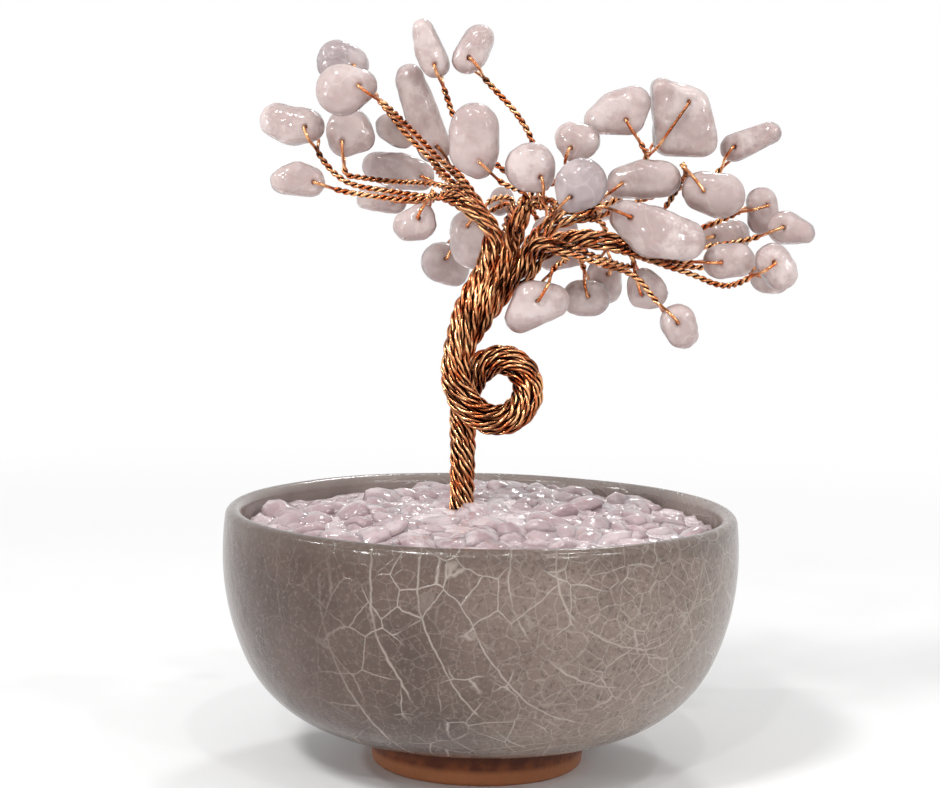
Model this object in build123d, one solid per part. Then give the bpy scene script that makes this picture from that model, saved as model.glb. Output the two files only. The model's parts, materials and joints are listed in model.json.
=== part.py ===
from build123d import *
from itertools import permutations
from math import acos, atan2, cos, exp, inf, pi, radians, sin, sqrt, tan
import os

# A small gemstone tree: tumbled chips of pink quartz on twisted wire, planted in a crackle-glazed bowl
# that is filled with quartz gravel. Millimetres. +Z is up, the origin is the centre of the foot's
# underside, and the tree is looked at along +Y.

# Bowl
bowl_diameter = 71.0
bowl_height = 35.5
bowl_wall = 2.7
belly_drop = 6.0
shoulder_height = 15.4
shoulder_inset = 3.05
lip_diameter = 68.4
lip_drop = 1.3
foot_diameter = 29.2
foot_top_diameter = 30.2
foot_height = 5.2
foot_wall = 3.2
foot_recess = 3.2
foot_rounding = 0.8
floor_height = 7.9
floor_diameter = 35.6

# Filling of the bowl
cast_gap = 0.12
resin_drop = 3.6
resin_depth = 5.4
stone_count = 84
stone_corner_counts = (5, 6, 7)
stone_spread_share = 0.85
stone_gap = 0.3
stone_height = 2.3
stone_least_share = 0.7
stone_most_share = 1.2
stone_skew_share = 0.14
stone_base_share = 0.86
stone_girdle_share = 0.45
stone_top_share = 0.62
mound_rise = 2.0
rear_mound_rise = 1.5
rear_mound_share = (0.12, 0.62)
rear_mound_width = 13.0

# Wire
wire_diameter = 0.45
pair_gap = 0.12
bough_gap = 0.1
trunk_diameter = 4.1
trunk_clearance = 0.1
trunk_foot_height = 12.0
bough_lead = 2.4
twig_lead = 2.2
shortest_run = 2.0
bend_share = 0.45

# Chips
chip_thickness = 4.3
chip_bore = 0.95
chip_clearance = 0.35
chip_swing_degrees = 12
chip_rounding_share = 0.44
lobe_rounding_share = 0.9
shoulder_share = 0.4
lasso_length = 1.3
lasso_bend = 0.9
strand_splay_share = 0.56

# The view in which the places below were read: distances from the bowl's axis and from its lip
view_distance = 304.0
view_rise = 46.8
view_across = -1.9
view_pitch_degrees = 5.85
view_roll_degrees = 1.12
view_pixel_share = 1 / 2226
view_centre_pixels_share = (470, 394)
crown_half_depth = 20.0

# Sizes that follow from the ones above
bowl_radius = bowl_diameter / 2
belly_height = bowl_height - belly_drop
shoulder_radius = bowl_radius - shoulder_inset
lip_inside_radius = lip_diameter / 2 - bowl_wall / 2
lip_outside_radius = lip_inside_radius + bowl_wall - lip_drop / 4
resin_top = bowl_height - resin_drop
plaster_top = resin_top - resin_depth
fill_radius = min(bowl_radius - bowl_wall, lip_inside_radius) - cast_gap
pair_diameter = 2 * wire_diameter
pair_pitch = pair_diameter + pair_gap
view_height = bowl_height + view_rise


def to_world(forward, across, up):
    """A direction of the view, turned into the part's own axes."""
    pitch = radians(view_pitch_degrees)
    roll = radians(view_roll_degrees)
    ahead = Vector(0, cos(pitch), -sin(pitch))
    level_up = Vector(0, sin(pitch), cos(pitch))
    level_right = Vector(1, 0, 0)
    right = level_right * cos(roll) + level_up * sin(roll)
    upward = level_up * cos(roll) - level_right * sin(roll)
    return ahead * forward + right * across + upward * up


def sight_line(pixel):
    """The eye, and the direction in which it sees a pixel, one unit long along the view's axis."""
    across = (pixel[0] - view_centre_pixels_share[0]) * view_pixel_share
    up = (view_centre_pixels_share[1] - pixel[1]) * view_pixel_share
    return Vector(view_across, -view_distance, view_height), to_world(1, across, up)


def seen(x_pixel, y_pixel, depth_share):
    """The point seen at a pixel, at a share of the crown's half depth behind the bowl's axis."""
    eye, ray = sight_line((x_pixel, y_pixel))
    return eye + ray * ((depth_share * crown_half_depth - eye.Y) / ray.Y)


def seen_on(plane, x_pixel, y_pixel):
    """The point of a plane that is seen at a pixel, and the length of one pixel there."""
    eye, ray = sight_line((x_pixel, y_pixel))
    distance = (plane.origin - eye).dot(plane.z_dir) / ray.dot(plane.z_dir)
    return eye + ray * distance, distance * view_pixel_share


# Solids that several pieces share
def bent_path(points, largest):
    """Straight runs through the points, joined by arcs as large as the runs allow, up to a limit."""
    kept = [points[0]]
    for before, here, after in zip(points, points[1:], points[2:]):
        if (here - kept[-1]).get_angle(after - here) > 1:
            kept.append(here)
    kept.append(points[-1])
    radii = []
    for before, here, after in zip(kept, kept[1:], kept[2:]):
        turn = radians((here - before).get_angle(after - here))
        room = bend_share * min((here - before).length, (after - here).length) / tan(turn / 2)
        radii.append(min(room, largest))
    if not radii:
        return Line(kept[0], kept[-1])
    return FilletPolyline(*kept, radius=radii)


def spaced(points):
    """The points without those in between that lie too close to their neighbours for a bend."""
    kept = points[:1]
    for point in points[1:-1]:
        if (point - kept[-1]).length > shortest_run and (points[-1] - point).length > shortest_run:
            kept.append(point)
    return kept + points[-1:]


def tube(points, diameter, largest=inf):
    """A round wire of that diameter along the points."""
    path = bent_path(points, largest)
    return sweep(Plane(path @ 0, z_dir=path % 0) * Circle(diameter / 2), path=path)


def packing(count):
    """The pattern of a tight bundle: places in wire pitches, from six up with one in the middle."""
    ring = count if count < 6 else count - 1
    reach = 1 / (2 * sin(pi / ring)) if ring > 1 else 0
    if ring < count:
        reach = max(reach, 1)
    places = [(reach * cos(2 * pi * k / ring), reach * sin(2 * pi * k / ring)) for k in range(ring)]
    return places + [(0, 0)] * (count - ring)


def bundle_diameter(count):
    """The diameter of a bundle of that many pairs."""
    x, y = packing(count)[0]
    return 2 * sqrt(x * x + y * y) * pair_pitch + pair_diameter


# Places of the tree, read in the view: a pixel across, a pixel down and a depth share
trunk_loop_pixels_share = [
    (463, 446, 0.02), (462, 418, 0.10), (467, 388, 0.12), (482, 364, 0.10), (506, 358, 0.06),
    (526, 373, 0.01), (530, 397, -0.05), (513, 418, -0.10), (489, 421, -0.13), (466, 406, -0.13),
    (455, 382, -0.12), (456, 358, -0.10),
]
upper_trunk_pixels_share = [
    (463, 336, -0.07), (473, 315, -0.04), (484, 295, -0.02), (497, 278, 0.0), (508, 262, 0.0),
]
upper_trunk_width_share = (1.0, 1.2, 1.45, 1.6, 1.7, 2.0)
crown_lean_degrees = 20

# Boughs: the slot on the crown's face, and the places that the bough passes
boughs_pixels_share = {
    "top": (7, [(522, 222, 0.0), (532, 203, 0.02)]),
    "right_far": (0, [(562, 240, 0.0), (592, 238, 0.0), (620, 244, 0.0)]),
    "right_high": (1, [(545, 228, 0.24), (566, 216, 0.30), (586, 214, 0.32)]),
    "back": (2, [(512, 226, 0.34), (516, 212, 0.46)]),
    "left_high": (3, [(484, 216, 0.13), (467, 194, 0.10)]),
    "left_low": (4, [(486, 219, -0.13), (462, 202, -0.13)]),
    "front": (5, [(514, 224, -0.32), (526, 208, -0.40)]),
    "right_low": (6, [(543, 242, -0.28), (559, 248, -0.32)]),
}

# Chips: depth share of the bore, turn about the upright in degrees, thickness share, the bore's pixel,
# the outline's lobes as pixel circles, and the places that the twig passes on its way from the bough.
# The last place also gives the side from which the twig comes
chips_pixels_share = {
    "left_high": [
        (0.02, 8, 1.00, (352, 66), [(338, 62, 22), (351, 65, 18)],
         [(440, 168, 0.06), (405, 134, 0.04), (384, 106, 0.02)]),
        (-0.36, -6, 1.10, (361, 86), [(342, 90, 26), (360, 86, 17)],
         [(446, 166, -0.06), (412, 130, -0.20), (388, 106, -0.30)]),
        (0.25, 10, 0.95, (435, 147), [(410, 79, 15), (421, 112, 17), (434, 146, 17)],
         [(453, 166, 0.17)]),
        (0.55, 20, 0.80, (403, 135), [(388, 127, 13), (402, 134, 15)],
         [(436, 172, 0.34), (428, 146, 0.50)]),
        (0.60, 6, 0.85, (420, 176), [(376, 166, 14), (398, 171, 19), (420, 176, 15)],
         [(450, 190, 0.46)]),
    ],
    "left_low": [
        (-0.06, -12, 1.00, (309, 127), [(278, 121, 18), (293, 126, 20), (308, 126, 17)],
         [(420, 196, -0.06), (380, 190, -0.05), (345, 184, -0.05), (326, 170, -0.05)]),
        (0.18, 0, 1.00, (343, 141), [(349, 131, 23), (344, 141, 16), (361, 138, 14)],
         [(427, 183, 0.11), (390, 182, 0.30), (360, 174, 0.24), (344, 165, 0.17)]),
        (-0.16, 10, 0.90, (312, 182), [(283, 181, 13), (296, 176, 15), (311, 182, 15)],
         [(412, 201, -0.17), (370, 196, -0.17), (338, 190, -0.16)]),
        (0.10, 0, 0.75, (394, 201), [(366, 198, 11), (382, 200, 13), (394, 201, 13)],
         [(428, 204, 0.04)]),
        (-0.30, -10, 0.95, (421, 218), [(408, 226, 15), (421, 224, 16), (421, 218, 15)],
         [(446, 198, -0.32), (428, 200, -0.36)]),
    ],
    "top": [
        (0.04, -6, 0.90, (436, 65), [(423, 29, 10), (429, 52, 15), (436, 65, 14)],
         [(516, 180, 0.02), (488, 158, 0.0), (458, 130, -0.01), (446, 96, 0.0)]),
        (-0.14, 10, 1.00, (467, 59), [(479, 39, 15), (472, 54, 16), (467, 59, 15)],
         [(539, 176, 0.02), (534, 142, -0.06), (518, 114, -0.10), (498, 93, -0.12)]),
        (-0.10, -15, 1.00, (574, 148), [(572, 139, 18), (583, 141, 17), (575, 148, 15)],
         [(558, 184, -0.12)]),
    ],
    "front": [
        (-0.34, 0, 1.10, (479, 162), [(474, 128, 25), (474, 150, 25), (478, 162, 17)],
         [(505, 186, -0.36)]),
        (-0.58, 8, 1.10, (538, 177), [(530, 167, 25), (537, 176, 17)],
         [(542, 200, -0.57)]),
        (-0.76, -12, 1.10, (573, 197), [(581, 184, 26), (574, 196, 17)],
         [(556, 201, -0.56), (556, 214, -0.72)]),
        (-0.36, 6, 1.10, (628, 217), [(625, 216, 16), (650, 231, 26), (684, 240, 21)],
         [(565, 206, -0.40), (602, 206, -0.37)]),
    ],
    "back": [
        (0.42, -10, 1.05, (470, 226), [(474, 244, 25), (470, 228, 20)],
         [(494, 203, 0.46), (486, 206, 0.42)]),
        (0.70, 12, 1.00, (443, 258), [(441, 262, 20), (452, 269, 18), (443, 258, 16)],
         [(500, 206, 0.62), (462, 224, 0.68)]),
        (0.80, 0, 0.70, (501, 201), [(502, 199, 12), (500, 204, 12)],
         [(512, 214, 0.80)]),
        (0.56, 0, 0.90, (548, 230), [(548, 232, 16), (563, 230, 15)],
         [(546, 202, 0.50)]),
        (0.86, -20, 0.95, (556, 254), [(553, 255, 16), (573, 252, 15)],
         [(525, 196, 0.80), (541, 212, 0.94), (546, 236, 0.86)]),
        (0.82, 25, 0.95, (590, 208), [(592, 206, 16), (606, 203, 17)],
         [(556, 209, 0.84)]),
    ],
    "right_high": [
        (0.10, -8, 1.00, (627, 120), [(598, 120, 14), (616, 110, 19), (634, 103, 17), (629, 119, 16)],
         [(618, 200, 0.36), (640, 178, 0.24), (648, 154, 0.20)]),
        (0.44, 6, 1.05, (686, 102), [(661, 88, 10), (693, 103, 15), (700, 140, 17), (668, 142, 14)],
         [(622, 194, 0.46), (646, 158, 0.44)]),
        (0.60, -20, 0.85, (737, 147), [(734, 148, 14), (752, 141, 13), (770, 133, 11)],
         [(622, 206, 0.50), (680, 188, 0.60), (722, 166, 0.60)]),
        (0.02, 0, 1.00, (621, 183), [(622, 183, 16), (645, 179, 20), (663, 179, 18)],
         [(600, 200, 0.02)]),
        (0.40, 14, 0.95, (604, 274), [(604, 274, 17), (605, 288, 17)],
         [(610, 230, 0.38), (607, 247, 0.40)]),
    ],
    "right_far": [
        (-0.06, 0, 1.05, (702, 191), [(702, 191, 20), (722, 196, 23)],
         [(646, 232, 0.06), (668, 204, 0.24), (683, 180, 0.18), (688, 172, -0.06)]),
        (0.24, 12, 0.90, (763, 205), [(761, 203, 16), (763, 219, 16)],
         [(654, 240, 0.18), (705, 228, 0.32), (744, 210, 0.24)]),
        (-0.02, -14, 0.95, (785, 227), [(785, 228, 17), (804, 233, 11)],
         [(660, 251, 0.06), (715, 246, 0.06), (760, 236, -0.02)]),
        (-0.38, 10, 1.00, (770, 262), [(772, 261, 18), (780, 272, 18)],
         [(652, 262, -0.16), (690, 273, -0.16), (722, 288, -0.26), (750, 276, -0.38)]),
        (0.08, -8, 0.95, (768, 277), [(766, 277, 16), (776, 279, 15)],
         [(655, 263, 0.13), (700, 268, 0.20), (742, 271, 0.08)]),
        (-0.14, 0, 0.90, (720, 262), [(721, 262, 18), (738, 260, 17)],
         [(650, 260, -0.02), (694, 262, -0.14)]),
        (0.56, -16, 0.90, (716, 236), [(715, 236, 16), (735, 236, 16)],
         [(652, 250, 0.28), (690, 242, 0.54)]),
    ],
    "right_low": [
        (-0.22, 8, 1.00, (535, 300), [(520, 318, 15), (530, 297, 16), (553, 301, 17), (536, 298, 18)],
         [(556, 268, -0.26)]),
        (0.10, -10, 1.00, (590, 296), [(580, 298, 18), (592, 298, 18)],
         [(584, 270, 0.10)]),
        (-0.10, -10, 0.95, (643, 294), [(643, 284, 16), (651, 292, 17), (643, 294, 15)],
         [(600, 258, -0.30), (636, 270, -0.10)]),
        (-0.36, 6, 1.00, (675, 322), [(678, 322, 18), (683, 332, 17)],
         [(600, 264, -0.36), (636, 274, -0.40), (655, 300, -0.36)]),
    ],
}


# Bowl
def bowl_outline_inside(gap):
    """The bowl's inner line from the middle of its floor to its lip, drawn in by a gap."""
    floor_edge = (floor_diameter / 2 - gap, floor_height)
    shoulder = (shoulder_radius - bowl_wall - gap, shoulder_height)
    belly = (bowl_radius - bowl_wall - gap, belly_height)
    lip = (lip_inside_radius - gap, bowl_height - lip_drop)
    floor = Line((0, floor_height), floor_edge)
    side = TangentArc(belly, shoulder, tangent=(0, -1))
    under = TangentArc(shoulder, floor_edge, tangent=side % 1)
    return [floor, under, side, Line(belly, lip)]


def make_bowl():
    belly = (bowl_radius, belly_height)
    shoulder = (shoulder_radius, shoulder_height)
    base = (foot_top_diameter / 2, foot_height)
    foot = (foot_diameter / 2, 0)
    foot_inside = (foot_diameter / 2 - foot_wall, 0)
    recess_edge = (foot_diameter / 2 - foot_wall, foot_recess)
    lip_outside = (lip_outside_radius, bowl_height - lip_drop)
    lip_crest = ((lip_inside_radius + lip_outside_radius) / 2, bowl_height)
    lip_inside = (lip_inside_radius, bowl_height - lip_drop)
    inside = bowl_outline_inside(0)
    side = TangentArc(belly, shoulder, tangent=(0, -1))
    under = TangentArc(shoulder, base, tangent=side % 1)
    neck = TangentArc(belly, lip_outside, tangent=(0, 1))
    outline = [
        Line((0, foot_recess), recess_edge),
        Line(recess_edge, foot_inside),
        Line(foot_inside, foot),
        Line(foot, base),
        under,
        side,
        neck,
        ThreePointArc(lip_outside, lip_crest, lip_inside),
        *inside,
        Line((0, floor_height), (0, foot_recess)),
    ]
    bowl = revolve(Plane.XZ * make_face(Wire(outline)), Axis.Z)
    foot_edge = bowl.edges().filter_by(GeomType.CIRCLE).group_by(Axis.Z)[0].sort_by(SortBy.RADIUS)[-1]
    return fillet(foot_edge, foot_rounding)


def make_fillings():
    """The plaster that holds the tree and the bed of clear resin on it, each with the trunk's hole."""
    inside = bowl_outline_inside(cast_gap)
    lip = inside[-1] @ 1
    outline = [*inside, Line(lip, (0, lip.Y)), Line((0, lip.Y), (0, floor_height))]
    cast = revolve(Plane.XZ * make_face(Wire(outline)), Axis.Z)
    cast = split(cast, Plane.XY.offset(resin_top), keep=Keep.BOTTOM)
    root = trunk_root()
    hole = Pos(root.X, root.Y, trunk_foot_height) * Cylinder(
        trunk_diameter / 2 + trunk_clearance, bowl_height, align=(Align.CENTER, Align.CENTER, Align.MIN)
    )
    cast = cast - hole
    plaster = split(cast, Plane.XY.offset(plaster_top), keep=Keep.BOTTOM)
    resin = split(cast, Plane.XY.offset(plaster_top), keep=Keep.TOP)
    return plaster, resin


def stone(radius, height, kind):
    """One chip of gravel: a flat base, a girdle of a few corners and a smaller flat top."""
    corners = stone_corner_counts[kind % len(stone_corner_counts)]
    skew = stone_skew_share * (kind * 5 % 7) / 6
    girdle = [
        (radius * (1 - skew * (k % 2)) * cos(2 * pi * k / corners), radius * sin(2 * pi * k / corners))
        for k in range(corners)
    ]
    middle = Polygon(*girdle, align=None)
    base = scale(middle, stone_base_share)
    top = Pos(0, 0, height) * scale(middle, stone_top_share)
    middle = Pos(0, 0, stone_girdle_share * height) * middle
    return loft([base, middle, top], ruled=True)


def make_gravel():
    """The gravel, laid in the sunflower's spiral, with its mound in the middle and at the back."""
    golden = pi * (3 - sqrt(5))
    pitch = (fill_radius - stone_gap) / (sqrt(stone_count - 0.5) + stone_spread_share)
    radius = stone_spread_share * pitch - stone_gap / 2
    root = trunk_root()
    rear = Vector(rear_mound_share[0] * fill_radius, rear_mound_share[1] * fill_radius)
    stones = []
    for k in range(stone_count):
        out = pitch * sqrt(k + 0.5)
        place = Vector(out * cos(k * golden), out * sin(k * golden))
        if (place - Vector(root.X, root.Y)).length < radius + trunk_diameter / 2 + stone_gap:
            continue
        rise = mound_rise * (1 - (out / fill_radius) ** 2)
        rise += rear_mound_rise * exp(-(((place - rear).length / rear_mound_width) ** 2))
        wobble = 0.5 + 0.5 * sin(5.1 * k)
        height = stone_height * (stone_least_share + (stone_most_share - stone_least_share) * wobble) + rise
        spin = Rotation(0, 0, 137 * k % 360)
        stones.append(Pos(place.X, place.Y, resin_top) * spin * stone(radius, height, k))
    return Compound(children=stones)


# Trunk
def trunk_root():
    """Where the trunk stands in the bowl, straight below the start of its loop."""
    return seen(*trunk_loop_pixels_share[0])


def crown_plane():
    """The face at the trunk's upper end, from which the boughs start."""
    lean = radians(crown_lean_degrees)
    centre = seen(*upper_trunk_pixels_share[-1])
    return Plane(centre, x_dir=(cos(lean), 0, -sin(lean)), z_dir=(sin(lean), 0, cos(lean)))


def make_trunk():
    root = trunk_root()
    foot = Vector(root.X, root.Y, trunk_foot_height)
    loop = [foot] + [seen(*place) for place in trunk_loop_pixels_share]
    lower = tube(loop, trunk_diameter)
    places = [loop[-1]] + [seen(*place) for place in upper_trunk_pixels_share]
    sections = []
    for k, share in enumerate(upper_trunk_width_share):
        if k == 0:
            plane = Plane(places[0], z_dir=loop[-1] - loop[-2])
        elif k == len(places) - 1:
            plane = crown_plane()
        else:
            plane = Plane(places[k], z_dir=places[k + 1] - places[k - 1])
        sections.append(plane * Circle(share * trunk_diameter / 2))
    return lower + loft(sections)


# Boughs
def bough_slots():
    """Where each bough stands on the crown's face: one in the middle and the others in a ring."""
    slots = {name: slot for name, (slot, places) in boughs_pixels_share.items()}
    middle = max(slots, key=slots.get)
    ring = sorted((slot, name) for name, slot in slots.items() if name != middle)
    widths = [bundle_diameter(len(chips_pixels_share[name])) for slot, name in ring]
    total = sum(widths)
    turns = [0.0]
    for width, following in zip(widths, widths[1:]):
        turns.append(turns[-1] + pi * (width + following) / total)
    reach = 0
    for k, width in enumerate(widths):
        chord = (width + widths[k - 1]) / 2 + bough_gap
        reach = max(reach, chord / (2 * sin(pi * (width + widths[k - 1]) / total / 2)))
    places = {name: Vector(reach * cos(turn), reach * sin(turn)) for turn, (slot, name) in zip(turns, ring)}
    places[middle] = Vector(0, 0)
    return places


def bough_route(name):
    crown = crown_plane()
    start = crown.from_local_coords(bough_slots()[name])
    lead = start + crown.z_dir * bough_lead
    return [start, lead] + [seen(*place) for place in boughs_pixels_share[name][1]]


def make_bough(name):
    return tube(bough_route(name), bundle_diameter(len(chips_pixels_share[name])))


def bough_end(name):
    """The face at a bough's far end, from which its twigs start."""
    route = bough_route(name)
    ahead = (route[-1] - route[-2]).normalized()
    return Plane(route[-1], x_dir=ahead.cross(Vector(0.3, 1, 0.2)), z_dir=ahead)


def twig_slots(name):
    """The start of each twig of a bough, shared out so that each starts on its own side."""
    end = bough_end(name)
    places = [Vector(x, y) * pair_pitch for x, y in packing(len(chips_pixels_share[name]))]
    aims = []
    for chip in chips_pixels_share[name]:
        aim = end.to_local_coords(seen(*chip[5][0]))
        aims.append(Vector(aim.X, aim.Y) * (2 * pair_pitch / aim.length))
    costs = [[(place - aim).length ** 2 for place in places] for aim in aims]
    count = len(places)
    best = min(permutations(range(count)), key=lambda order: sum(costs[k][order[k]] for k in range(count)))
    return [end.from_local_coords(places[slot]) for slot in best]


# Chips and the wires that hold them
def chip_plane(chip):
    """The middle plane of a chip: the origin in its bore, z along the bore and towards the viewer."""
    depth, turn = chip[0], radians(chip[1])
    return Plane(seen(*chip[3], depth), x_dir=(cos(turn), sin(turn), 0), z_dir=(sin(turn), -cos(turn), 0))


def chip_lobes(chip):
    """The circles that a chip's outline is drawn round, in its own plane: x, y and radius."""
    plane = chip_plane(chip)
    lobes = []
    for x_pixel, y_pixel, radius_pixels in chip[4]:
        point, scale = seen_on(plane, x_pixel, y_pixel)
        local = plane.to_local_coords(point)
        lobes.append((local.X, local.Y, radius_pixels * scale))
    return lobes


def edge_distance(lobes, angle):
    """How far the outline lies from the bore in one direction."""
    nearest = inf
    for k in range(-17, 18):
        side = angle + k * pi / 36
        support = max(x * cos(side) + y * sin(side) + radius for x, y, radius in lobes)
        nearest = min(nearest, support / cos(side - angle))
    return nearest


def hull_outline(circles):
    """The closed outline round some circles: an arc on each that shows and a straight line to the next."""
    steps = 360
    order = []
    for k in range(steps):
        angle = 2 * pi * k / steps
        reaches = [x * cos(angle) + y * sin(angle) + radius for x, y, radius in circles]
        shown = reaches.index(max(reaches))
        if not order or order[-1][0] != shown:
            order.append((shown, angle))
    if len(order) > 1 and order[0][0] == order[-1][0]:
        order[0] = (order[0][0], order[-1][1] - 2 * pi)
        order.pop()
    if len(order) == 1:
        x, y, radius = circles[order[0][0]]
        return [Edge.make_circle(radius, Plane((x, y)))]
    turns = []
    for k, (shown, near) in enumerate(order):
        x, y, radius = circles[order[k - 1][0]]
        next_x, next_y, next_radius = circles[shown]
        apart = Vector(x - next_x, y - next_y)
        base = atan2(apart.Y, apart.X)
        spread = acos((next_radius - radius) / apart.length)
        turns.append(min((base + spread, base - spread), key=lambda turn: 1 - cos(turn - near)))
    edges = []
    for k, (shown, near) in enumerate(order):
        x, y, radius = circles[shown]
        start = turns[k]
        sweep_angle = (turns[(k + 1) % len(turns)] - start) % (2 * pi)
        angles = (start, start + sweep_angle / 2, start + sweep_angle)
        first, middle, last = [(x + radius * cos(angle), y + radius * sin(angle)) for angle in angles]
        edges.append(ThreePointArc(first, middle, last))
        x, y, radius = circles[order[(k + 1) % len(order)][0]]
        edges.append(Line(last, (x + radius * cos(angles[2]), y + radius * sin(angles[2]))))
    return edges


def chip_rounding(chip):
    """The rounding of a chip's edges, kept inside its thickness and its smallest lobe."""
    smallest = min(radius for x, y, radius in chip_lobes(chip))
    return min(chip_rounding_share * chip[2] * chip_thickness, lobe_rounding_share * smallest)


def make_chip(chip):
    """A tumbled stone: an outline round its lobes, with edges rounded almost to the middle, and a bore."""
    thickness = chip[2] * chip_thickness
    lobes = chip_lobes(chip)
    slab = extrude(make_face(Wire(hull_outline(lobes))), thickness / 2, both=True)
    slab = fillet(slab.edges().filter_by(Plane.XY), chip_rounding(chip))
    bored = slab - Cylinder(chip_bore / 2, 2 * thickness)
    return chip_plane(chip) * bored


def lasso_side(chip):
    """The direction, in a chip's plane, from its bore to the twig that carries it, as an angle."""
    via = chip_plane(chip).to_local_coords(seen(*chip[5][-1]))
    return atan2(via.Y, via.X)


def make_twig(bough, chip, start):
    """A twisted pair from its bough to a chip, ending in a single wire that goes through the bore."""
    plane = chip_plane(chip)
    side = lasso_side(chip)
    outward = plane.x_dir * cos(side) + plane.y_dir * sin(side)
    lobes = chip_lobes(chip)
    swing = radians(chip_swing_degrees)
    edge = max(edge_distance(lobes, side + share * swing) for share in (-1, -0.5, 0, 0.5, 1))
    thickness = chip[2] * chip_thickness
    rise = thickness / 2 + chip_clearance + wire_diameter / 2
    tip = edge + lasso_length
    shoulder = edge - shoulder_share * chip_rounding(chip)
    splay = strand_splay_share * wire_diameter

    def at(out, up):
        return plane.origin + outward * out + plane.z_dir * up

    near_side = [at(tip + splay, splay), at(shoulder, rise), at(0, rise)]
    far_side = [at(0, -rise), at(shoulder, -rise), at(tip + splay, -splay)]
    lasso = tube(near_side + far_side, wire_diameter, lasso_bend)
    lead = start + bough_end(bough).z_dir * twig_lead
    route = [start] + spaced([lead] + [seen(*place) for place in chip[5]] + [at(tip, 0)])
    return tube(route, pair_diameter) + lasso


# Writing the pieces, one file for each
os.makedirs("parts", exist_ok=True)
plaster_core, resin_bed = make_fillings()
pieces = {
    "bowl": make_bowl(),
    "plaster_core": plaster_core,
    "resin_bed": resin_bed,
    "gravel": make_gravel(),
    "trunk": make_trunk(),
}
for bough, chips in chips_pixels_share.items():
    pieces[bough + "_bough"] = make_bough(bough)
    starts = twig_slots(bough)
    twigs = [make_twig(bough, chip, start) for chip, start in zip(chips, starts)]
    pieces[bough + "_twigs"] = Compound(children=[solid for twig in twigs for solid in twig.solids()])
    for number, chip in enumerate(chips, 1):
        pieces[bough + "_chip_" + str(number)] = make_chip(chip)
for name, piece in pieces.items():
    export_step(piece, "parts/" + name + ".step")
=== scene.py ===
import json
from itertools import permutations
from math import copysign, cos, exp, hypot, pi, radians, sin, sqrt, tau
import bmesh
import bpy
from mathutils import Euler, Matrix, Vector, noise
from mathutils.kdtree import KDTree
from mathutils.bvhtree import BVHTree


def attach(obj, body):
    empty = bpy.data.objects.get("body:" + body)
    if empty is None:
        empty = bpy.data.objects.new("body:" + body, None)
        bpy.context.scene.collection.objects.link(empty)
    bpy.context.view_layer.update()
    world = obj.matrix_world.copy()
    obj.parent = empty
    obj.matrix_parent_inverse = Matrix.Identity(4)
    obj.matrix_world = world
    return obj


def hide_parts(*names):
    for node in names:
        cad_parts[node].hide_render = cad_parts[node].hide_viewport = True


# A gemstone tree: tumbled rose quartz on a rope of twisted copper wire, in a crackle-glazed bowl of quartz
# gravel set in clear resin. Metres, +Z up, the origin is the centre of the foot's underside.

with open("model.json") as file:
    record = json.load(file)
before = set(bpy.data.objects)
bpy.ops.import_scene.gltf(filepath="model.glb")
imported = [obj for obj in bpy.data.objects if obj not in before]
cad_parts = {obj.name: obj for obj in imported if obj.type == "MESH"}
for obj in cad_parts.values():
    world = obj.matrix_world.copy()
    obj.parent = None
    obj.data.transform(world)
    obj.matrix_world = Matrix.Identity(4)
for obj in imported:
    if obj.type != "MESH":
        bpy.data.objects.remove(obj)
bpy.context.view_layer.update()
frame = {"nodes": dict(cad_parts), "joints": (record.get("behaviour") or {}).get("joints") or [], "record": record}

# Bowl
bowl_radius = 0.0355
bowl_height = 0.0355
bowl_wall = 0.0027
belly_height = 0.0295
shoulder_height = 0.0154
shoulder_radius = 0.03245
lip_radius = 0.0342
lip_drop = 0.0013
foot_radius = 0.0146
foot_top_radius = 0.0151
foot_height = 0.0052
foot_wall = 0.0032
foot_recess = 0.0032
foot_rounding = 0.0008
floor_height = 0.0079
floor_radius = 0.0178
bowl_steps = 160
foot_steps = 6
side_steps = 16
under_steps = 28
neck_steps = 8
lip_steps = 12
inner_side_steps = 10
inner_under_steps = 16
glaze_edge_height = 0.0054
glaze_roll = 0.00035
glaze_roll_height = 0.0005
roll_waver = 0.0006
roll_waver_length = 0.006
thrown_wobble = 0.00012
wobble_length = 0.02
merge_reach = 0.000001

# The glaze: how far across the bowl each of its looks reaches, its arcs, and where its bands fade
olive_reach = (-0.02, 0.026)
streaks_reach = (-0.03, -0.01)
net_reach = (-0.006, 0.026)
cracks_reach = (-0.022, -0.01)
arcs_middle = (0.02, -0.028, 0.034)
arcs_step = 0.0029
arc_width = 0.00022
arcs_start = (0.007, 0.012)
arcs_end = (0.05, 0.06)
rim_band = 0.004
wall_fade = 0.0006
waterline_fade = 0.002
glaze_edge_waver = 0.0008
glaze_edge_fade = (0.0002, 0.0005)

# Gravel
resin_top = 0.0319
resin_cover = 0.0012
gravel_radius = 0.0292
gravel_count = 250
gravel_size = 0.0025
gravel_least_share = 0.6
gravel_most_share = 1.3
gravel_stretch_share = (1.25, 0.75, 1.1, 0.55)
gravel_rise_share = (0.05, 0.35)
gravel_tilt = 0.45
gravel_off_trunk = 0.001
gravel_cuts = 5
gravel_cut_share = 0.66
edge_stones = [(0.0262, -0.0035, 0.0034), (-0.0262, -0.0045, 0.0031), (0.0225, -0.0125, 0.0028)]
mound_rise = 0.0022
rear_mound_rise = 0.0016
rear_mound_place = Vector((0.004, 0.0202))
rear_mound_width = 0.013
resin_voxel = 0.0007
resin_ripple = 0.0006
resin_ripple_length = 0.0022
resin_edge = 0.0008

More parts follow.
